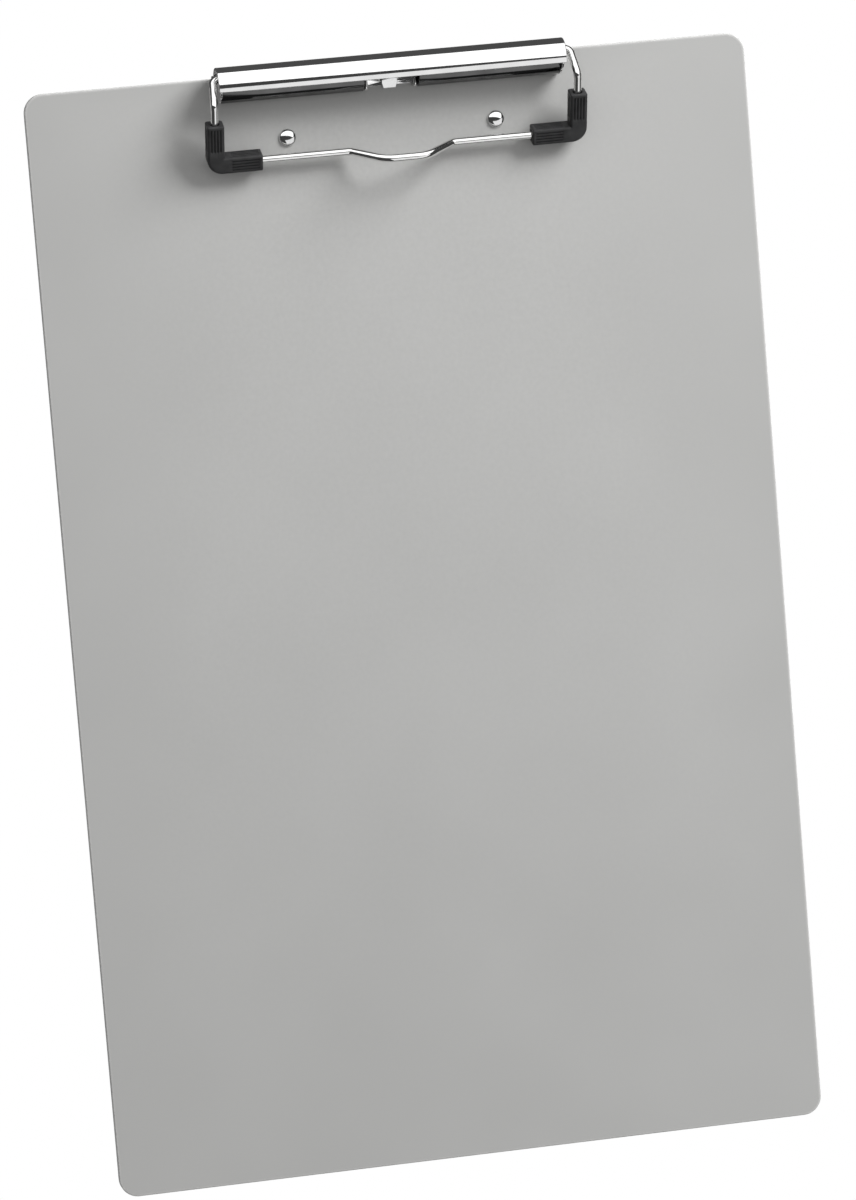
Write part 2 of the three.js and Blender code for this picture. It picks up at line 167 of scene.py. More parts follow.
# Joins the tools to the piece, or cuts them out of it
def combine(piece, tools, operation, sharpDegrees=40):
    for tool in tools:
        change = piece.modifiers.new("combine", "BOOLEAN")
        change.operation = operation
        change.solver = "EXACT"
        change.material_mode = "TRANSFER"
        change.object = tool
    shaped = piece.evaluated_get(bpy.context.evaluated_depsgraph_get())
    mesh = bpy.data.meshes.new_from_object(shaped)
    piece.modifiers.clear()
    piece.data = mesh
    mesh.shade_smooth()
    mesh.set_sharp_from_angle(angle=math.radians(sharpDegrees))
    for tool in tools:
        bpy.data.objects.remove(tool)
    return piece


# The outline of a bent sheet's section, drawn in (Y, Z), with its two cut ends rounded.
# inset draws it that much smaller all round.
def sheetSection(line, thickness, endRound, inset, steps=4):
    half = thickness / 2 - inset
    radius = max(endRound - inset, 0.0)
    first = (line[1] - line[0]).normalized()
    last = (line[-1] - line[-2]).normalized()
    clear = 1.3 * endRound                # stations closer than this would fold the rounded ends
    inner = [p for p in line[1:-1] if min((p - line[0]).length, (p - line[-1]).length) > clear]
    stations = [line[0] + first * endRound] + inner + [line[-1] - last * endRound]
    left = []
    right = []
    for i, point in enumerate(stations):
        incoming = first if i == 0 else (point - stations[i - 1]).normalized()
        outgoing = last if i == len(stations) - 1 else (stations[i + 1] - point).normalized()
        heading = (incoming + outgoing).normalized()
        reach = half / max(heading.dot(incoming), 0.5)    # a sharp bend's mitre stays short
        normal = Vector((-heading.y, heading.x))
        left.append(point + normal * reach)
        right.append(point - normal * reach)

    def endCorners(base, outward, fromSide):
        side = Vector((-outward.y, outward.x)) * fromSide
        points = []
        for sign in (1, -1):
            centre = base + side * sign * (thickness / 2 - endRound)
            for k in range(1, steps + 1):
                angle = math.radians(90 * k / steps)
                if sign < 0:
                    angle = math.radians(90 - 90 * k / steps)
                points.append(centre + (side * sign * math.cos(angle) + outward * math.sin(angle)) * radius)
        return points

    return right + endCorners(stations[-1], last, -1) + left[::-1] + endCorners(stations[0], -first, -1)


# Pulls a bent sheet across from one X to another, with its cut edges rounded.
# narrowing gives how much shorter each end is at a given Y.
def pullSheet(bm, line, thickness, fromX, toX, cutEdge, narrowing=None, steps=4):
    turns = [90 - 90 * k / steps for k in range(steps + 1)]
    stations = [(fromX + cutEdge * (1 - math.sin(math.radians(a))), 1, a) for a in turns]
    stations += [(toX - cutEdge * (1 - math.sin(math.radians(a))), -1, a) for a in reversed(turns)]
    rings = []
    for x, inward, a in stations:
        inset = cutEdge * (1 - math.cos(math.radians(a)))
        section = sheetSection(line, thickness, cutEdge, inset)
        points = [Vector((x + inward * (narrowing(p.x) if narrowing else 0.0), p.x, p.y)) for p in section]
        rings.append(addRing(bm, points, wear=a / 90))
    for first, second in zip(rings, rings[1:]):
        joinRings(bm, first, second)
    bm.faces.new(rings[0])
    bm.faces.new(rings[-1][::-1])


# A round wire swept along its route, with rounded ends
def sweepWire(bm, route, radius, around, endRound, endSteps=4):
    headings = []
    for i in range(len(route)):
        headings.append((route[min(i + 1, len(route) - 1)] - route[max(i - 1, 0)]).normalized())
    side = headings[0].orthogonal().normalized()
    rings = []
    frames = []
    for i, heading in enumerate(headings):
        if i > 0:
            side = headings[i - 1].rotation_difference(heading) @ side
            side = (side - heading * side.dot(heading)).normalized()
        frames.append((route[i], heading, side))

    def ringAt(centre, heading, side, size, wear):
        across = heading.cross(side)
        points = []
        for k in range(around):
            angle = 2 * math.pi * k / around
            points.append(centre + (side * math.cos(angle) + across * math.sin(angle)) * size)
        return addRing(bm, points, wear)

    # A ring of a rounded end: direction is 1 at the wire's start and -1 at its end
    def endRing(frameOfEnd, direction, k):
        centre, heading, side = frameOfEnd
        angle = math.radians(90 * k / endSteps)
        centre = centre + heading * direction * endRound * (1 - math.sin(angle))
        return ringAt(centre, heading, side, radius - endRound * (1 - math.cos(angle)), 1.0)

    for k in range(endSteps, 0, -1):
        rings.append(endRing(frames[0], 1, k))
    for i, (centre, heading, side) in enumerate(frames):
        shift = endRound if i == 0 else -endRound if i == len(frames) - 1 else 0.0
        rings.append(ringAt(centre + heading * shift, heading, side, radius, 0.0))
    for k in range(1, endSteps + 1):
        rings.append(endRing(frames[-1], -1, k))
    for first, second in zip(rings, rings[1:]):
        joinRings(bm, first, second)
    bm.faces.new(rings[0][::-1])
    bm.faces.new(rings[-1])


# Turned round an upright axis: profile points are (radius, height, wear), from the bottom up
def turnProfile(bm, centre, profile, around):
    rings = []
    for radius, height, wear in profile:
        if radius < 1e-6:
            rings.append(addRing(bm, [Vector((centre.x, centre.y, height))], wear))
            continue
        points = []
        for k in range(around):
            angle = 2 * math.pi * k / around
            reach = Vector((radius * math.cos(angle), radius * math.sin(angle)))
            points.append(Vector((centre.x + reach.x, centre.y + reach.y, height)))
        rings.append(addRing(bm, points, wear))
    for first, second in zip(rings, rings[1:]):
        if len(first) == 1 or len(second) == 1:
            pole, ring = (first[0], second) if len(first) == 1 else (second[0], first)
            for k in range(around):
                bm.faces.new((ring[k - 1], ring[k], pole))
        else:
            joinRings(bm, first, second)


board = {
    "cornerRadius": 6.0,
    "cornerSteps": 24,
    "edgeRadius": 0.35,
    "edgeSteps": 5,
    "faceMargin": 0.5,         # a narrow strip inside the rounded edge keeps the big face's shading even
    "holeRadius": 1.75,
    "holeSteps": 48,
    "holeEdge": 0.12,
}
rivetCentres = {}
for hand in sides:
    rivetLow, rivetHigh = cadCorners(hand + "_rivet")
    rivetCentres[hand] = (rivetLow + rivetHigh) / 2


def roundedPlan(half, radius, steps):
    points = []
    for quarter, (signX, signY) in enumerate(((1, 1), (-1, 1), (-1, -1), (1, -1))):
        centre = (signX * (half.x - radius), signY * (half.y - radius))
        points += arcPoints(centre, radius, 90 * quarter, 90 * quarter + 90, steps)
    return points


def buildBoard():
    bm = newShape()
    radius = board["edgeRadius"]
    profile = [(radius + board["faceMargin"], boardLow.z, 0.0)]
    for k in range(board["edgeSteps"] + 1):
        angle = math.radians(90 * k / board["edgeSteps"])
        profile.append((radius * (1 - math.sin(angle)), boardLow.z + radius * (1 - math.cos(angle)), 1.0))
    for k in range(board["edgeSteps"] + 1):
        angle = math.radians(90 * k / board["edgeSteps"])
        profile.append((radius * (1 - math.cos(angle)), faceZ - radius * (1 - math.sin(angle)), 1.0))
    profile.append((radius + board["faceMargin"], faceZ, 0.0))
    rings = []
    for inset, z, wear in profile:
        half = Vector((boardHigh.x - inset, topY - inset))
        plan = roundedPlan(half, board["cornerRadius"] - inset, board["cornerSteps"])
        rings.append(addRing(bm, [Vector((p.x, p.y, z)) for p in plan], wear))
    for first, second in zip(rings, rings[1:]):
        joinRings(bm, first, second)
    underHoles = []
    faceHoles = []
    edge = board["holeEdge"]
    for centre in rivetCentres.values():
        bore = []
        flat = edge + board["faceMargin"]
        heights = ((flat, boardLow.z), (edge, boardLow.z), (0, boardLow.z + edge),
                   (0, faceZ - edge), (edge, faceZ), (flat, faceZ))
        for wider, z in heights:
            circle = arcPoints(centre, board["holeRadius"] + wider, 0, 360, board["holeSteps"])[:-1]
            bore.append(addRing(bm, [Vector((p.x, p.y, z)) for p in circle], 0.5))
        for first, second in zip(bore, bore[1:]):
            joinRings(bm, first, second)
        underHoles.append(bore[0])
        faceHoles.append(bore[-1])
    fillFace(bm, rings[0], *underHoles)
    fillFace(bm, rings[-1], *faceHoles)
    return finishShape("board_panel", bm, sharpDegrees=60)


spine = {
    "sheet": 0.8,
    "tubeRadius": 5.7,
    "lipAngle": 112,           # where the tube stops, round from its back
    "tubeSteps": 110,
    "flangeCorner": 4.0,
    "cutEdge": 0.25,
    "wrapSteps": 10,
    "flangeSteps": 9,
    "holeRadius": 1.75,
    "holeSteps": 48,
}
tubeCentre = Vector((spineHigh.y - spine["tubeRadius"], faceZ + spine["tubeRadius"]))


def buildSpine():
    sheet = spine["sheet"]
    flatZ = boardLow.z - restGap - sheet / 2
    wallY = topY + restGap + sheet / 2
    wrapRadius = restGap + sheet / 2
    centreRadius = spine["tubeRadius"] - sheet / 2
    joinAngle = -math.degrees(math.acos((wallY - tubeCentre.x) / centreRadius))
    corner = spine["flangeCorner"]
    line = []
    for k in range(spine["flangeSteps"] + 1):
        angle = math.radians(90 * k / spine["flangeSteps"])
        line.append(Vector((spineLow.y + corner * (1 - math.cos(angle)), flatZ)))
    line.append(Vector((wallY - 2 * corner, flatZ)))
    line += arcPoints((wallY - wrapRadius, flatZ + wrapRadius), wrapRadius, -90, 0, spine["wrapSteps"])
    line += arcPoints(tubeCentre, centreRadius, joinAngle, spine["lipAngle"], spine["tubeSteps"])

    def roundCorners(y):
        into = min(max(spineLow.y + corner - y, 0.0), corner)
        return corner - math.sqrt(corner ** 2 - into ** 2)

    bm = newShape()
    pullSheet(bm, line, sheet, spineLow.x, spineHigh.x, spine["cutEdge"], roundCorners)
    channel = finishShape("spine_channel", bm)
    drills = []
    for hand, centre in rivetCentres.items():
        bm = newShape()
        depth = 2 * sheet
        radius = spine["holeRadius"]
        low, high = flatZ - depth, flatZ + depth
        profile = [(0, low, 0), (radius, low, 0), (radius, high, 0), (0, high, 0)]
        turnProfile(bm, centre, profile, spine["holeSteps"])
        drills.append(finishShape("drill_" + hand, bm))
    return combine(channel, drills, "DIFFERENCE")


carrier = {
    "sheet": 0.7,
    "cutEdge": 0.16,
    "wallRadius": 4.6,
    "wallRise": 2.6,           # height of the wall's bulge over the writing face
    "wallTopAngle": 102,
    "wallSteps": 40,
    "footBend": 0.7,
    "footLead": 8,             # degrees of the wall given up to the bend at its foot
    "bridgeLap": 2.0,          # how far the plain stretches run into the wall
    "footLap": 3.0,
    "step": 0.02,              # the plain stretches are this much thinner, so no faces share a plane
    "window": 8.7,             # half the gap that shows the springs
    "earGap": 0.1,
    "earProud": 0.1,
    "earTubeGap": 0.5,
    "earSteps": 160,
    "earHole": 1.55,
    "earHoleSteps": 64,
    "hookRoom": 1.22,          # from the front edge back to the strip inside the window
    "tongueHalf": 2.5,
    "tongueNeckHalf": 1.7,
    "tongueFold": 0.42,
    "foldSteps": 24,
    "tongueCrease": 0.8,       # bend radius between its two slopes
    "creaseSteps": 6,
    "tongueFront": (22, 1.3),  # slope in degrees and run of the front face
    "tongueTop": (8, 2.6),
}
frontEdgeY = tubeCentre.x - spine["tubeRadius"]


def carrierTongue(flatZ, windowEdgeY):
    sheet = carrier["sheet"]
    fold = carrier["tongueFold"]
    frontSlope, frontRun = carrier["tongueFront"]
    topSlope, topRun = carrier["tongueTop"]
    foldCentre = (frontEdgeY + fold + sheet / 2, flatZ + fold)
    folded = arcPoints(foldCentre, fold, 270, 90 + frontSlope, carrier["foldSteps"])
    crease = folded[-1] + Vector((frontRun, frontRun * math.tan(math.radians(frontSlope))))
    end = crease + Vector((topRun, topRun * math.tan(math.radians(topSlope))))
    bends = ((folded[-1], 0), (crease, carrier["tongueCrease"]), (end, 0))
    corners = [(Vector((0, *point)), bend) for point, bend in bends]
    slopes = [Vector((p.y, p.z)) for p in bentRoute(corners, carrier["creaseSteps"])[1:]]
    line = [Vector((windowEdgeY + topRun / 2, flatZ))] + folded + slopes
    narrowest = frontEdgeY - sheet

    def taper(y):
        along = min(max((y - narrowest) / (crease.x - narrowest), 0.0), 1.0)
        return (carrier["tongueHalf"] - carrier["tongueNeckHalf"]) * (1 - along)

    bm = newShape()
    pullSheet(bm, line, sheet, -carrier["tongueHalf"], carrier["tongueHalf"], carrier["cutEdge"], taper)
    return finishShape("tongue", bm)


# A plate across the tube's end, its outline two round lobes that stand on the board
def carrierEar(hand, wallCentre):
    side = sides[hand]
    outer = side * carrierHigh.x
    inner = outer - side * carrier["sheet"]
    lobes = [(tubeCentre, spine["tubeRadius"] - spine["sheet"] - carrier["earTubeGap"]),
             (Vector(wallCentre), carrier["wallRadius"] + carrier["earProud"])]
    middle = (lobes[0][0] + lobes[1][0]) / 2
    steps = carrier["earSteps"]
    outline = []
    for k in range(steps):
        angle = 2 * math.pi * k / steps
        ray = Vector((math.cos(angle), math.sin(angle)))
        reaches = []
        for lobeCentre, radius in lobes:
            away = middle - lobeCentre
            along = away.dot(ray)
            reaches.append(-along + math.sqrt(along ** 2 - away.length_squared + radius ** 2))
        if ray.x > 0:
            reaches[1] = min(reaches[1], (topY - middle.x) / ray.x)
        reach = max(reaches)
        if ray.y < 0:
            reach = min(reach, (carrierLow.z - middle.y) / ray.y)
        outline.append(middle + ray * reach)
    normals = []
    for k in range(steps):
        along = (outline[(k + 1) % steps] - outline[k - 1]).normalized()
        normals.append(Vector((along.y, -along.x)))
    edge = carrier["cutEdge"]
    bm = newShape()
    rings = []
    bores = []
    turns = (0, 30, 60, 90)               # degrees round the rounded edge
    for x, inward, order in ((outer, -side, turns), (inner, side, turns[::-1])):
        for a in order:
            inset = edge * (1 - math.sin(math.radians(a)))
            depth = x + inward * edge * (1 - math.cos(math.radians(a)))
            points = [Vector((depth, p.x - n.x * inset, p.y - n.y * inset)) for p, n in zip(outline, normals)]
            rings.append(addRing(bm, points, 1.0))
            bore = carrier["earHole"] + inset
            circle = arcPoints((hinge.y, hinge.z), bore, 0, 360, carrier["earHoleSteps"])
            bores.append(addRing(bm, [Vector((depth, p.x, p.y)) for p in circle[:-1]], 0.6))
    for loops in (rings, bores):
        for first, second in zip(loops, loops[1:]):
            joinRings(bm, first, second)
    fillFace(bm, rings[0], bores[0])
    fillFace(bm, rings[-1], bores[-1])
    return finishShape("ear_" + hand, bm)


def buildCarrier(bright, dark):
    sheet = carrier["sheet"]
    flatZ = faceZ + restGap + sheet / 2
    windowEdgeY = frontEdgeY + carrier["hookRoom"]
    wallCentre = (frontEdgeY + carrier["wallRadius"], faceZ + carrier["wallRise"])
    radius = carrier["wallRadius"] - sheet / 2
    footDegrees = 180 + math.degrees(math.asin((wallCentre[1] - flatZ) / radius))
    foot = arcPoints(wallCentre, radius, footDegrees, footDegrees, 1)[0]
    wallStart = footDegrees - carrier["footLead"]
    wall = arcPoints(wallCentre, radius, wallStart, carrier["wallTopAngle"], carrier["wallSteps"])
    start = Vector((0, topY, flatZ))
    route = bentRoute([(start, 0), (Vector((0, *foot)), carrier["footBend"]), (Vector((0, *wall[0])), 0)], 8)
    line = [Vector((p.y, p.z)) for p in route] + wall[1:]
    step = carrier["step"]
    flat = [Vector((topY - 2 * carrier["cutEdge"], flatZ)), Vector((windowEdgeY, flatZ))]
    wallEnd = carrierHigh.x - sheet - carrier["earGap"]
    edge = carrier["cutEdge"]
    bm = newShape()
    pullSheet(bm, line, sheet, -wallEnd, -carrier["window"], edge)
    strip = finishShape("spring_strip", bm)
    joined = []
    bm = newShape()
    pullSheet(bm, line, sheet, carrier["window"], wallEnd, edge)
    joined.append(finishShape("wall_right", bm))
    bridgeEnd = carrier["window"] + carrier["bridgeLap"]
    footStart = wallEnd - carrier["footLap"]
    footEnd = carrierHigh.x - sheet / 2
    for name, fromX, toX in (("bridge", -bridgeEnd, bridgeEnd),
                             ("foot_left", -footEnd, -footStart),
                             ("foot_right", footStart, footEnd)):
        bm = newShape()
        pullSheet(bm, flat, sheet - 2 * step, fromX, toX, edge)
        joined.append(finishShape(name, bm))
    joined += [carrierEar(hand, wallCentre) for hand in sides]
    joined.append(carrierTongue(flatZ, windowEdgeY))
    for part in [strip] + joined:
        isWall = part.name.startswith(("spring_strip", "wall"))
        # The walls get a dark copy of the strip's chrome: a painted dark reflection, not a blackened finish
        part.data.materials.append(dark if isWall else bright)
    return combine(strip, joined, "UNION", sharpDegrees=35)


bail = {
    "wire": 1.25,              # radius
    "legs": 115.6,             # from leg to leg
    "sideways": 0.5,           # the bail has slid a little to the right in the ears
    "splay": 1.0,              # each leg leans out from its hinge to its knee
    "reach": 26.1,             # from the hinge line to the front bar
    "slope": 23.5,
    "legLength": 19.8,
    "hingeBend": 2.2,
    "kneeBend": 2.5,
    "cornerBend": 3.0,
    "lift": 7.5,
    "liftFlat": 13.0,
    "liftRamp": 9.7,
    "liftOffset": 2.0,         # the finger lift sits a little right of the middle
    "liftBend": 9.0,
    "liftFoot": 3.0,
    "stubs": 3.4,
    "stubBend": 1.6,
    "stubReach": 3.8,
    "stubDroop": 35,
    "bendSteps": 16,
    "around": 36,
    "endRound": 0.3,
}
cap = {
    "width": 5.4,
    "barLength": 17.4,
    "legLength": 16.3,
    "cornerRadius": 4.8,
    "cornerSteps": 20,
    "edgeRadius": 0.7,
    "edgeSteps": 4,
    "endEdge": 0.3,
    "floorGap": 0.1,
    "bore": 1.55,
    "boreSteps": 48,
    "ribs": 4,
    "ribPitch": 0.96,
    "grooveHalf": 0.27,
    "grooveDepth": 0.42,
    "grooveShape": ((-1, 0), (-0.6, 0.75), (-0.25, 1), (0.25, 1), (0.6, 0.75), (1, 0)),    # across, depth
    "rim": 0.9,                # plain end before the grooves start
    "rampLength": 0.35,        # where a groove runs out
    "rampShares": (0, 0.25, 0.6, 0.9, 1.0),
    "plainCorner": 2.2,        # plain length beside the inner corner
}
slope = math.radians(bail["slope"])
slopeUp = Vector((0, math.cos(slope), math.sin(slope)))
slopeNormal = Vector((0, -math.sin(slope), math.cos(slope)))
capLowest = (cap["width"] / 2 - cap["edgeRadius"]) * math.sin(slope) + cap["width"] / 2 * math.cos(slope)
barY = hinge.y - bail["reach"]
barZ = faceZ + cap["floorGap"] + capLowest
droop = math.radians(bail["stubDroop"])
stubDirection = Vector((0, -math.cos(droop), -math.sin(droop)))
stubOpeningSide = Vector((0, -math.sin(droop), math.cos(droop)))


def alongBail(x, alongLeg, offPlane=0.0):
    return Vector((x, barY, barZ)) + slopeUp * alongLeg + slopeNormal * offPlane


def legPlace(side):
    return side * bail["legs"] / 2 + bail["sideways"]


def buildBail():
    corners = []
    for side in (-1, 1):
        leg = legPlace(side)
        stub = Vector((side * bail["stubs"] / 2, hinge.y, hinge.z))
        rampFoot = bail["liftOffset"] + side * (bail["liftFlat"] / 2 + bail["liftRamp"])
        rampTop = bail["liftOffset"] + side * bail["liftFlat"] / 2
        run = [
            (stub + stubDirection * bail["stubReach"], 0),
            (stub, bail["stubBend"]),
            (Vector((leg - side * bail["splay"], hinge.y, hinge.z)), bail["hingeBend"]),
            (alongBail(leg, bail["legLength"]), bail["kneeBend"]),
            (alongBail(leg, 0), bail["cornerBend"]),
            (alongBail(rampFoot, 0), bail["liftFoot"]),
            (alongBail(rampTop, 0, bail["lift"]), bail["liftBend"]),
        ]
        corners += run if side < 0 else run[::-1]
    bm = newShape()
    route = bentRoute(corners, bail["bendSteps"])
    sweepWire(bm, route, bail["wire"], bail["around"], bail["endRound"])
    return finishShape("bail_wire", bm)


# One section of the cap: w from the outside of the L to its inside, h up from its back
def capSection(inset, groove):
    half = cap["width"] / 2
    edge = cap["edgeRadius"]
    points = []

    def groovedFace(turn):
        first = -(cap["ribs"] - 1) / 2 * cap["ribPitch"]
        for k in range(cap["ribs"]):
            middle = first + k * cap["ribPitch"]
            for across, share in cap["grooveShape"]:
                w = middle + across * cap["grooveHalf"]
                points.append(turn @ Vector((w, half - share * cap["grooveDepth"] * groove)))

    for quarter in range(4):
        turn = Matrix.Rotation(math.radians(-90 * quarter), 2)
        groovedFace(turn)
        for k in range(cap["edgeSteps"] + 1):
            angle = math.radians(90 - 90 * k / cap["edgeSteps"])
            corner = Vector((half - edge + edge * math.cos(angle), half - edge + edge * math.sin(angle)))
            points.append(turn @ corner)
    shrink = 1 - inset / half
    return [p * shrink for p in points]


# Where the cap's sections stand: outside point, inside point, how deep the grooves are, inset
def capStations():
    half = cap["width"] / 2
    edge = cap["endEdge"]
    stations = []

    def leg(length, place):
        end = length - half
        rows = []
        for k in range(cap["edgeSteps"], -1, -1):
            angle = math.radians(90 * k / cap["edgeSteps"])
            rows.append((end - edge * (1 - math.sin(angle)), 0.0, edge * (1 - math.cos(angle))))
        start = end - cap["rim"]
        finish = half + cap["plainCorner"]
        ramp = cap["rampLength"]
        for share in cap["rampShares"]:
            rows.append((start - ramp * share, math.sin(math.pi / 2 * share), 0.0))
        for share in reversed(cap["rampShares"]):
            rows.append((finish + ramp * share, math.sin(math.pi / 2 * share), 0.0))
        return [(place(u), groove, inset) for u, groove, inset in rows]

    bottom = leg(cap["barLength"], lambda u: (Vector((u, -half)), Vector((u, half))))
    upright = leg(cap["legLength"], lambda v: (Vector((-half, v)), Vector((half, v))))
    stations += bottom
    inside = Vector((half, half))
    stations.append(((Vector((half, -half)), inside), 0.0, 0.0))
    reach = cap["cornerRadius"] - half
    for p in arcPoints((reach, reach), cap["cornerRadius"], 270, 180, cap["cornerSteps"]):
        stations.append(((p, inside), 0.0, 0.0))
    stations.append(((Vector((-half, half)), inside), 0.0, 0.0))
    stations += upright[::-1]
    return stations


def buildCap(hand):
    side = sides[hand]
    half = cap["width"] / 2
    corner = alongBail(legPlace(side), 0)
    inward = Vector((-side, 0, 0))

    def placed(u, v, h):
        return corner + inward * u + slopeUp * v + slopeNormal * h

    bm = newShape()
    rings = []
    for (outside, inside), groove, inset in capStations():
        points = []
        for w, h in capSection(inset, groove):
            plan = outside.lerp(inside, (w + half) / (2 * half))
            points.append(placed(plan.x, plan.y, h))
        rings.append(addRing(bm, points))
    for first, second in zip(rings, rings[1:]):
        joinRings(bm, first, second)
    boreEnds = (Vector((cap["barLength"] - half, 0, 0)), Vector((0, cap["legLength"] - half, 0)))
    corners = [(boreEnds[0], 0), (Vector((0, 0, 0)), bail["cornerBend"]), (boreEnds[1], 0)]
    route = bentRoute(corners, bail["bendSteps"])
    bores = []
    for i, point in enumerate(route):
        heading = (route[min(i + 1, len(route) - 1)] - route[max(i - 1, 0)]).normalized()
        across = heading.cross(Vector((0, 0, 1)))
        points = []
        for k in range(cap["boreSteps"]):
            angle = 2 * math.pi * k / cap["boreSteps"]
            p = point + (across * math.cos(angle) + Vector((0, 0, 1)) * math.sin(angle)) * cap["bore"]
            points.append(placed(p.x, p.y, p.z))
        bores.append(addRing(bm, points))
    for first, second in zip(bores, bores[1:]):
        joinRings(bm, first, second)
    fillFace(bm, rings[0], bores[0])
    fillFace(bm, rings[-1], bores[-1])
    return finishShape("cap_" + hand, bm, sharpDegrees=50)


spring = {
    "wire": 0.55,
    "coil": 2.0,               # radius of the coil's centre line
    "wholeTurns": 3,
    "innerEnd": 3.6,
    "outerEnd": 7.8,
    "armLength": 2.8,
    "armHook": 2.6,
    "armBend": 0.8,
    "armSteps": 8,
    "hookFloorGap": 0.3,
    "hookEdgeGap": 0.12,
    "stepsPerTurn": 40,
    "around": 18,
    "endRound": 0.12,
    "blendFrom": 7.2,          # the outer end stays with the board, the inner end turns with the bail
    "blendTo": 4.2,
}


def buildSpring(hand):
    side = sides[hand]
    outer = side * spring["outerEnd"]
    inner = side * spring["innerEnd"]
    bottomZ = hinge.z - spring["coil"]
    hookY = frontEdgeY + carrier["hookRoom"] - spring["hookEdgeGap"] - spring["wire"]
    hookTip = Vector((outer, hookY, faceZ + spring["hookFloorGap"]))
    hookTop = Vector((outer, hookY, bottomZ))
    coilStart = Vector((outer, hinge.y, bottomZ))
    route = bentRoute([(hookTip, 0), (hookTop, spring["armBend"]), (coilStart, 0)], spring["armSteps"])
    start = -90
    finish = 90 + bail["stubDroop"] + 360 * spring["wholeTurns"]
    steps = round((finish - start) / 360 * spring["stepsPerTurn"])
    for i in range(1, steps):
        angle = math.radians(start + (finish - start) * i / steps)
        route.append(Vector((
            outer + (inner - outer) * i / steps,
            hinge.y + spring["coil"] * math.cos(angle),
            hinge.z + spring["coil"] * math.sin(angle),
        )))
    coilEnd = Vector((inner, hinge.y, hinge.z)) + stubOpeningSide * spring["coil"]
    armTurn = coilEnd + stubDirection * spring["armLength"]
    armTip = armTurn + Vector((-side * spring["armHook"], 0, 0))
    route += bentRoute([(coilEnd, 0), (armTurn, spring["armBend"]), (armTip, 0)], spring["armSteps"])
    bm = newShape()
    sweepWire(bm, route, spring["wire"], spring["around"], spring["endRound"])
    return finishShape("spring_" + hand, bm)


rivet = {
    "headRadius": 2.75,
    "headHeight": 1.3,
    "headSteps": 24,
    "headFullness": 0.9,       # under 1 the dome bulges more than a ball
    "rimRound": 0.2,
    "shank": 1.6,
    "tailRadius": 2.5,
    "tailHeight": 0.8,
    "tailSteps": 5,
    "dimple": 1.1,
    "dimpleRim": 0.1,
    "around": 72,
}


def buildRivet(hand):
    headBase = faceZ + restGap
    tailTop = boardLow.z - 2 * restGap - spine["sheet"]
    tailLow = tailTop - rivet["tailHeight"]
    half = rivet["tailHeight"] / 2
    profile = [(0, tailLow + half, 0.0)]
    for share in (0.35, 0.7, 0.9):
        profile.append((rivet["dimple"] * share, tailLow + half * (1 - share ** 2), 0.0))
    profile.append((rivet["dimple"] + rivet["dimpleRim"], tailLow, 0.8))
    for k in range(rivet["tailSteps"] + 1):
        angle = math.radians(90 * k / rivet["tailSteps"])
        reach = rivet["tailRadius"] - half + half * math.sin(angle)
        profile.append((reach, tailLow + half - half * math.cos(angle), 0.6))
    profile.append((rivet["tailRadius"], tailTop, 0.3))
    profile.append((rivet["shank"], tailTop, 0.0))
    profile.append((rivet["shank"], headBase, 0.0))
    rim = rivet["rimRound"] / 2
    profile.append((rivet["headRadius"] - rim, headBase, 0.0))
    for k in range(rivet["headSteps"]):
        angle = math.radians(90 * k / rivet["headSteps"])
        reach = rivet["headRadius"] * math.cos(angle) ** rivet["headFullness"]
        profile.append((reach, headBase + rim + (rivet["headHeight"] - rim) * math.sin(angle), 0.0))
    profile.append((0, headBase + rivet["headHeight"], 0.0))
    bm = newShape()
    turnProfile(bm, rivetCentres[hand], profile, rivet["around"])
    return finishShape("rivet_" + hand, bm)


def addNode(tree, kind, **settings):
    node = tree.nodes.new(kind)
    for name, value in settings.items():
        setattr(node, name, value)
    return node


def newGroup(name, inputs, outputs):
    tree = bpy.data.node_groups.new(name, "ShaderNodeTree")
    for label, default in inputs:
        socket = tree.interface.new_socket(name=label, in_out="INPUT", socket_type="NodeSocketFloat")
        socket.default_value = default
    for label in outputs:
        tree.interface.new_socket(name=label, in_out="OUTPUT", socket_type="NodeSocketFloat")
    return tree, addNode(tree, "NodeGroupInput"), addNode(tree, "NodeGroupOutput")


def calculate(tree, operation, first, second=None, third=None):
    node = addNode(tree, "ShaderNodeMath", operation=operation)
    for socket, value in zip(node.inputs, (first, second, third)):
        if isinstance(value, (int, float)):
            socket.default_value = value
        elif value is not None:
            tree.links.new(value, socket)
    return node.outputs[0]


# Fine texture of a surface: Height for its relief, Tint for slow patches of tone. Size and Patch are in mm.
def makeGrain():
    tree, given, made = newGroup("surfaceGrain", [("Size", 0.3), ("Patch", 20.0), ("Sharpness", 0.6)],
                                 ["Height", "Tint"])
    place = addNode(tree, "ShaderNodeTexCoord").outputs["Object"]
    fine = addNode(tree, "ShaderNodeTexNoise")
    tree.links.new(place, fine.inputs["Vector"])
    tree.links.new(calculate(tree, "DIVIDE", 1 / mm, given.outputs["Size"]), fine.inputs["Scale"])
    tree.links.new(given.outputs["Sharpness"], fine.inputs["Roughness"])
    fine.inputs["Detail"].default_value = 3
    slow = addNode(tree, "ShaderNodeTexNoise")
    tree.links.new(place, slow.inputs["Vector"])
    tree.links.new(calculate(tree, "DIVIDE", 1 / mm, given.outputs["Patch"]), slow.inputs["Scale"])
    slow.inputs["Detail"].default_value = 2
    tree.links.new(fine.outputs[0], made.inputs["Height"])
    tree.links.new(slow.outputs[0], made.inputs["Tint"])
    return tree


rubMarks = {
    "directions": (17, 71),    # degrees
    "threshold": 0.78,         # only the noise's peaks make a mark
    "contrast": 6.0,
}


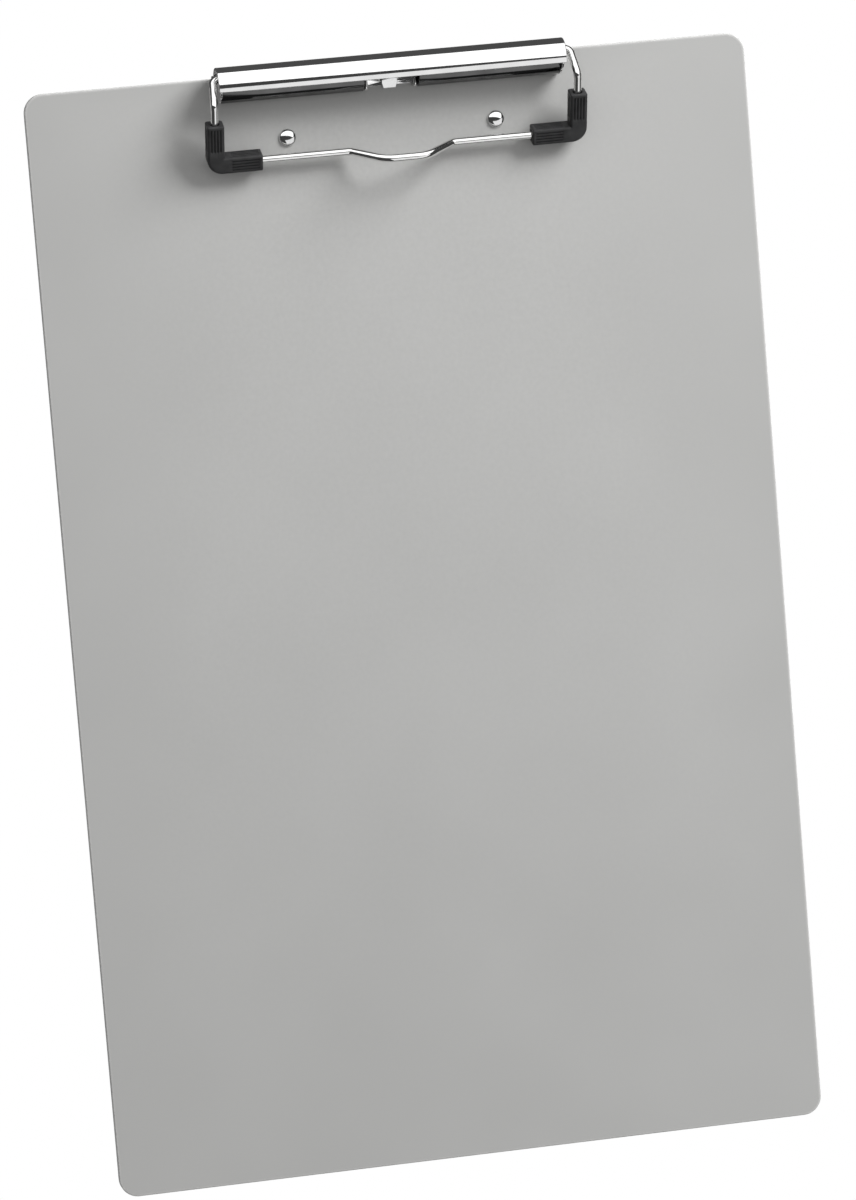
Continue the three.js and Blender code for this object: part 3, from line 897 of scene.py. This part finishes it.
# Faint long rub marks in two directions. Length and Width are in millimetres, Cover is how many show.
def makeRubs():
    tree, given, made = newGroup("rubMarks", [("Length", 30.0), ("Width", 0.15), ("Cover", 0.3)], ["Mask"])
    place = addNode(tree, "ShaderNodeTexCoord").outputs["Object"]
    marks = []
    for degrees in rubMarks["directions"]:
        turned = addNode(tree, "ShaderNodeVectorRotate", rotation_type="Z_AXIS")
        tree.links.new(place, turned.inputs["Vector"])
        turned.inputs["Angle"].default_value = math.radians(degrees)
        parts = addNode(tree, "ShaderNodeSeparateXYZ")
        tree.links.new(turned.outputs[0], parts.inputs[0])
        along, across = [calculate(tree, "DIVIDE", parts.outputs[i], mm) for i in (0, 1)]
        along = calculate(tree, "DIVIDE", along, given.outputs["Length"])
        across = calculate(tree, "DIVIDE", across, given.outputs["Width"])
        stretched = addNode(tree, "ShaderNodeCombineXYZ")
        tree.links.new(along, stretched.inputs[0])
        tree.links.new(across, stretched.inputs[1])
        noise = addNode(tree, "ShaderNodeTexNoise")
        noise.inputs["Scale"].default_value = 1
        noise.inputs["Detail"].default_value = 1
        tree.links.new(stretched.outputs[0], noise.inputs["Vector"])
        least = calculate(tree, "SUBTRACT", 1.0, calculate(tree, "MULTIPLY", given.outputs["Cover"], 0.5))
        level = calculate(tree, "MULTIPLY", least, rubMarks["threshold"])
        over = calculate(tree, "SUBTRACT", noise.outputs[0], level)
        marks.append(calculate(tree, "MAXIMUM", over, 0.0))
    total = calculate(tree, "MULTIPLY", calculate(tree, "ADD", marks[0], marks[1]), rubMarks["contrast"])
    tree.links.new(calculate(tree, "MINIMUM", total, 1.0), made.inputs["Mask"])
    return tree


# Rubbed edges: the wear marked on the mesh, broken up by a noise. Size is in millimetres.
def makeWear():
    tree, given, made = newGroup("edgeWear", [("Edge", 0.0), ("Size", 1.0), ("Amount", 0.5)], ["Mask"])
    place = addNode(tree, "ShaderNodeTexCoord").outputs["Object"]
    noise = addNode(tree, "ShaderNodeTexNoise")
    tree.links.new(place, noise.inputs["Vector"])
    tree.links.new(calculate(tree, "DIVIDE", 1 / mm, given.outputs["Size"]), noise.inputs["Scale"])
    noise.inputs["Detail"].default_value = 4
    broken = calculate(tree, "MULTIPLY", given.outputs["Edge"], noise.outputs[0])
    tree.links.new(calculate(tree, "MULTIPLY", broken, given.outputs["Amount"]), made.inputs["Mask"])
    return tree


grainGroup = makeGrain()
rubGroup = makeRubs()
wearGroup = makeWear()


def newMaterial(name):
    material = bpy.data.materials.new(name)
    material.use_nodes = True
    tree = material.node_tree
    return material, tree, tree.nodes["Principled BSDF"]


def placeGroup(tree, group, **values):
    node = addNode(tree, "ShaderNodeGroup", node_tree=group)
    for label, value in values.items():
        node.inputs[label].default_value = value
    return node


def wearOf(tree, size, amount):
    marked = addNode(tree, "ShaderNodeAttribute", attribute_name="wear")
    group = placeGroup(tree, wearGroup, Size=size, Amount=amount)
    tree.links.new(marked.outputs["Fac"], group.inputs["Edge"])
    return group.outputs["Mask"]


def spread(tree, value, low, high, fromLow=0.3, fromHigh=0.7):
    node = addNode(tree, "ShaderNodeMapRange")
    tree.links.new(value, node.inputs["Value"])
    for label, number in (("From Min", fromLow), ("From Max", fromHigh), ("To Min", low), ("To Max", high)):
        node.inputs[label].default_value = number
    return node.outputs["Result"]


def mixColours(tree, factor, first, second):
    node = addNode(tree, "ShaderNodeMix", data_type="RGBA")
    tree.links.new(factor, node.inputs[0])
    for socket, value in ((node.inputs[6], first), (node.inputs[7], second)):
        if isinstance(value, tuple):
            socket.default_value = (*value, 1)
        else:
            tree.links.new(value, socket)
    return node.outputs[2]


def bumpFrom(tree, height, depth, strength):
    node = addNode(tree, "ShaderNodeBump")
    node.inputs["Strength"].default_value = strength
    node.inputs["Distance"].default_value = depth * mm
    tree.links.new(height, node.inputs["Height"])
    return node.outputs["Normal"]


boardFinish = {
    "grey": (0.456, 0.456, 0.448),
    "paleGrey": (0.478, 0.478, 0.47),
    "edgeGrey": (0.62, 0.62, 0.61),
    "roughness": (0.5, 0.58),
    "shine": 0.35,
    "grainSize": 0.22,
    "grainPatch": 60.0,
    "grainDepth": 0.012,
    "grainStrength": 0.5,
    "rubLength": 26.0,
    "rubWidth": 0.2,
    "rubCover": 0.3,
    "rubPolish": 0.06,         # how much smoother a rub mark is
    "wearSize": 1.4,
    "wearAmount": 0.9,
}


def boardMaterial():
    look = boardFinish
    material, tree, shader = newMaterial("satin_grey_sheet")
    grain = placeGroup(tree, grainGroup, Size=look["grainSize"], Patch=look["grainPatch"])
    length, width, cover = look["rubLength"], look["rubWidth"], look["rubCover"]
    rubs = placeGroup(tree, rubGroup, Length=length, Width=width, Cover=cover)
    tone = mixColours(tree, spread(tree, grain.outputs["Tint"], 0, 1), look["grey"], look["paleGrey"])
    worn = mixColours(tree, wearOf(tree, look["wearSize"], look["wearAmount"]), tone, look["edgeGrey"])
    tree.links.new(worn, shader.inputs["Base Color"])
    shader.inputs["Specular IOR Level"].default_value = look["shine"]
    plain = spread(tree, grain.outputs["Height"], *look["roughness"])
    polish = calculate(tree, "MULTIPLY", rubs.outputs["Mask"], look["rubPolish"])
    tree.links.new(calculate(tree, "SUBTRACT", plain, polish), shader.inputs["Roughness"])
    relief = bumpFrom(tree, grain.outputs["Height"], look["grainDepth"], look["grainStrength"])
    tree.links.new(relief, shader.inputs["Normal"])
    return material


# Each bright metal: its two tones, its roughness and its grain, sizes in millimetres
metals = {
    "chromed_sheet": {
        "shine": (0.93, 0.93, 0.93), "dull": (0.86, 0.86, 0.86),
        "roughness": (0.03, 0.075), "grainSize": 0.12, "grainDepth": 0.0006,
    },
    "chromed_strip": {
        "shine": (0.93, 0.93, 0.93), "dull": (0.86, 0.86, 0.86),
        "roughness": (0.05, 0.12), "grainSize": 0.1, "grainDepth": 0.001,
    },
    # Dark copy of the strip's chrome for the walls: a painted dark reflection standing in for what the chrome
    # wall mirrors there
    "darkened_strip": {
        "shine": (0.15, 0.15, 0.15), "dull": (0.11, 0.11, 0.11),
        "roughness": (0.08, 0.14), "grainSize": 0.1, "grainDepth": 0.001,
    },
    "chromed_wire": {
        "shine": (0.92, 0.92, 0.91), "dull": (0.84, 0.84, 0.83),
        "roughness": (0.02, 0.05), "grainSize": 0.1, "grainDepth": 0.001,
    },
    "chromed_rivet": {
        "shine": (0.92, 0.92, 0.92), "dull": (0.84, 0.84, 0.84),
        "roughness": (0.03, 0.08), "grainSize": 0.15, "grainDepth": 0.001,
    },
    "drawn_spring_steel": {
        "shine": (0.9, 0.9, 0.89), "dull": (0.78, 0.78, 0.77),
        "roughness": (0.1, 0.2), "grainSize": 0.08, "grainDepth": 0.003,
    },
}
# What all of them share
metalWear = {
    "patch": 7.0,
    "grainStrength": 0.3,
    "rubLength": 9.0,
    "rubWidth": 0.07,
    "rubCover": 0.35,
    "rubDulling": 0.12,        # how much rougher a rub mark is
    "wearSize": 0.5,
    "wearAmount": 0.5,
}


def metalMaterial(name):
    look = metals[name]
    wear = metalWear
    material, tree, shader = newMaterial(name)
    shader.inputs["Metallic"].default_value = 1.0
    grain = placeGroup(tree, grainGroup, Size=look["grainSize"], Patch=wear["patch"])
    length, width, cover = wear["rubLength"], wear["rubWidth"], wear["rubCover"]
    rubs = placeGroup(tree, rubGroup, Length=length, Width=width, Cover=cover)
    tone = mixColours(tree, spread(tree, grain.outputs["Tint"], 0, 1), look["shine"], look["dull"])
    worn = mixColours(tree, wearOf(tree, wear["wearSize"], wear["wearAmount"]), tone, look["dull"])
    tree.links.new(worn, shader.inputs["Base Color"])
    smudged = spread(tree, grain.outputs["Tint"], *look["roughness"])
    dulling = calculate(tree, "MULTIPLY", rubs.outputs["Mask"], wear["rubDulling"])
    tree.links.new(calculate(tree, "ADD", smudged, dulling), shader.inputs["Roughness"])
    relief = bumpFrom(tree, grain.outputs["Height"], look["grainDepth"], wear["grainStrength"])
    tree.links.new(relief, shader.inputs["Normal"])
    return material


capFinish = {
    "black": (0.016, 0.016, 0.017),
    "dusty": (0.03, 0.03, 0.031),
    "worn": (0.075, 0.075, 0.076),
    "roughness": (0.42, 0.6),
    "grainSize": 0.14,
    "grainPatch": 2.5,
    "grainDepth": 0.02,
    "grainStrength": 0.6,
    "wearSize": 0.4,
    "wearAmount": 0.8,
}


def capMaterial():
    look = capFinish
    material, tree, shader = newMaterial("moulded_black_plastic")
    grain = placeGroup(tree, grainGroup, Size=look["grainSize"], Patch=look["grainPatch"])
    tone = mixColours(tree, spread(tree, grain.outputs["Tint"], 0, 1), look["black"], look["dusty"])
    worn = mixColours(tree, wearOf(tree, look["wearSize"], look["wearAmount"]), tone, look["worn"])
    tree.links.new(worn, shader.inputs["Base Color"])
    tree.links.new(spread(tree, grain.outputs["Height"], *look["roughness"]), shader.inputs["Roughness"])
    relief = bumpFrom(tree, grain.outputs["Height"], look["grainDepth"], look["grainStrength"])
    tree.links.new(relief, shader.inputs["Normal"])
    return material


pieces = {
    "board_panel": (buildBoard(), "board", ["writing_board"], "board_sheet", boardMaterial()),
}
print("board made")
metal = {name: metalMaterial(name) for name in metals}
pieces["spine_channel"] = (buildSpine(), "board", ["clip_spine"], "chromed_sheet", metal["chromed_sheet"])
strip = buildCarrier(metal["chromed_strip"], metal["darkened_strip"])
pieces["spring_strip"] = (strip, "board", ["spring_carrier"], "chromed_sheet", None)
print("spine and spring strip made")
pieces["bail_wire"] = (buildBail(), "bail", ["wire_bail"], "chromed_wire", metal["chromed_wire"])
plastic = capMaterial()
head = metal["chromed_rivet"]
steel = metal["drawn_spring_steel"]
for hand in sides:
    pieces["cap_" + hand] = (buildCap(hand), "bail", [hand + "_corner_cap"], "cap_plastic", plastic)
    pieces["rivet_" + hand] = (buildRivet(hand), "board", [hand + "_rivet"], "chromed_rivet", head)
    pieces["spring_" + hand] = (buildSpring(hand), None, [hand + "_torsion_spring"], "spring_steel", steel)
print("bail, caps, rivets and springs made")

# A piece with no body crosses the hinge: its outer end stays with the board, its inner end with the bail
for name, (piece, body, nodes, slot, material) in pieces.items():
    if material:
        piece.data.materials.clear()
        piece.data.materials.append(material)
    if body:
        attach(piece, body)
    else:
        side = sides[name.split("_")[1]]
        fromPlace = Vector((side * spring["blendFrom"], hinge.y, hinge.z)) * mm
        toPlace = Vector((side * spring["blendTo"], hinge.y, hinge.z)) * mm
        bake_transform(piece, "board", "bail", start=tuple(fromPlace), end=tuple(toPlace))
    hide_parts(*nodes)


camera = {
    "aim": (-0.75, 5.2, 2.5),
    "distance": 1903.0,
    "leanLeft": 10.38,         # how far the camera stands to the left of straight above the board
    "leanTop": 7.58,           # and towards the clip
    "roll": 4.65,
    "lens": 180.3,
}


def addCamera():
    back = Vector((-math.tan(math.radians(camera["leanLeft"])), math.tan(math.radians(camera["leanTop"])), 1))
    back.normalize()
    up = (Vector((0, 1, 0)) - back * back.y).normalized()
    right = up.cross(back)
    roll = math.radians(camera["roll"])
    up = up * math.cos(roll) + right * math.sin(roll)
    right = up.cross(back)
    place = (Vector(camera["aim"]) + back * camera["distance"]) * mm
    data = bpy.data.cameras.new("camera")
    data.lens = camera["lens"]
    data.clip_end = 50
    seen = bpy.data.objects.new("camera", data)
    turn = Matrix((right, up, back)).transposed().to_4x4()
    seen.matrix_world = Matrix.Translation(place) @ turn
    bpy.context.scene.collection.objects.link(seen)
    bpy.context.scene.camera = seen


# What the chrome mirrors: two panels, each a near edge (a point and its direction across),
# how far it runs away and how it tips down. In metres and degrees, bright is what a mirror shows.
panels = {
    "top_panel": {
        "edge": (-0.6, 0.48, 1.3), "turn": -14,
        "width": 3.6, "depth": 2.6, "tip": 28.7, "bright": 1.3,
    },
    "low_panel": {
        "edge": (0.78, -0.035, 1.3), "turn": 190,
        "width": 2.1, "depth": 3.0, "tip": 0, "bright": 0.8,
    },
}
# The soft light that shades the board and throws the clip's shadow
key = {
    "place": (1.3, 1.3, 0.85),
    "size": 1.0,
    "power": 54.5,
}
studio = {
    "fill": 0.4,
    "mirrored": 0.05,
    "paper": 1.0,
    "floorSeen": 1.0,
    "floorMirrored": 0.07,
    "floorBounce": 0.8,
    "floorHalf": 6.0,
}


def addLamp(name, width, depth, power, matrix):
    data = bpy.data.lights.new(name, "AREA")
    data.shape = "RECTANGLE"
    data.size = width
    data.size_y = depth
    data.energy = power
    lamp = bpy.data.objects.new(name, data)
    lamp.visible_camera = False
    lamp.matrix_world = matrix
    bpy.context.scene.collection.objects.link(lamp)
    return lamp


def addPanels():
    for name, panel in panels.items():
        across = Vector((math.cos(math.radians(panel["turn"])), math.sin(math.radians(panel["turn"])), 0))
        tip = math.radians(panel["tip"])
        level = Vector((-across.y, across.x, 0))
        away = level * math.cos(tip) + Vector((0, 0, -math.sin(tip)))
        facing = across.cross(away)
        turn = Matrix((across, away, facing)).transposed().to_4x4()
        middle = Vector(panel["edge"]) + away * panel["depth"] / 2
        power = panel["bright"] * math.pi * panel["width"] * panel["depth"]
        lamp = addLamp(name, panel["width"], panel["depth"], power, Matrix.Translation(middle) @ turn)
        lamp.visible_diffuse = False
    place = Vector(key["place"])
    turn = place.to_track_quat("Z", "Y").to_matrix().to_4x4()
    lamp = addLamp("key", key["size"], key["size"], key["power"], Matrix.Translation(place) @ turn)
    lamp.visible_glossy = False


def addWorld():
    world = bpy.data.worlds.new("studio")
    world.use_nodes = True
    bpy.context.scene.world = world
    tree = world.node_tree
    tree.nodes.clear()
    path = addNode(tree, "ShaderNodeLightPath")
    shade = addNode(tree, "ShaderNodeBackground")
    shade.inputs["Strength"].default_value = studio["fill"]
    for ray, strength in (("Is Glossy Ray", studio["mirrored"]), ("Is Camera Ray", studio["paper"])):
        other = addNode(tree, "ShaderNodeBackground")
        other.inputs["Strength"].default_value = strength
        mix = addNode(tree, "ShaderNodeMixShader")
        tree.links.new(path.outputs[ray], mix.inputs[0])
        tree.links.new(shade.outputs[0], mix.inputs[1])
        tree.links.new(other.outputs[0], mix.inputs[2])
        shade = mix
    tree.links.new(shade.outputs[0], addNode(tree, "ShaderNodeOutputWorld").inputs[0])
    for node in tree.nodes:
        if node.type == "BACKGROUND":
            node.inputs["Color"].default_value = (1, 1, 1, 1)


# Pale floor under the rivets' tails: white to look at, dim in the chrome, and a soft bounce for the rest
def addFloor():
    bm = bmesh.new()
    half = studio["floorHalf"]
    signs = ((-1, -1), (1, -1), (1, 1), (-1, 1))
    bm.faces.new([bm.verts.new((x * half, y * half, cadBox[0].z)) for x, y in signs])
    mesh = bpy.data.meshes.new("floor")
    bm.to_mesh(mesh)
    bm.free()
    floor = bpy.data.objects.new("floor", mesh)
    bpy.context.scene.collection.objects.link(floor)
    material = bpy.data.materials.new("pale_floor")
    material.use_nodes = True
    tree = material.node_tree
    tree.nodes.clear()
    path = addNode(tree, "ShaderNodeLightPath")
    bounce = addNode(tree, "ShaderNodeBsdfDiffuse")
    bounce.inputs["Color"].default_value = (studio["floorBounce"],) * 3 + (1,)
    seen = addNode(tree, "ShaderNodeEmission")
    seen.inputs["Strength"].default_value = studio["floorSeen"]
    mirrored = addNode(tree, "ShaderNodeEmission")
    mirrored.inputs["Strength"].default_value = studio["floorMirrored"]
    forCamera = addNode(tree, "ShaderNodeMixShader")
    tree.links.new(path.outputs["Is Camera Ray"], forCamera.inputs[0])
    tree.links.new(bounce.outputs[0], forCamera.inputs[1])
    tree.links.new(seen.outputs[0], forCamera.inputs[2])
    forMirror = addNode(tree, "ShaderNodeMixShader")
    tree.links.new(path.outputs["Is Glossy Ray"], forMirror.inputs[0])
    tree.links.new(forCamera.outputs[0], forMirror.inputs[1])
    tree.links.new(mirrored.outputs[0], forMirror.inputs[2])
    tree.links.new(forMirror.outputs[0], addNode(tree, "ShaderNodeOutputMaterial").inputs[0])
    mesh.materials.append(material)


bpy.context.scene.view_settings.view_transform = "Standard"
addCamera()
addPanels()
addWorld()
addFloor()
print("camera, panels and floor set")
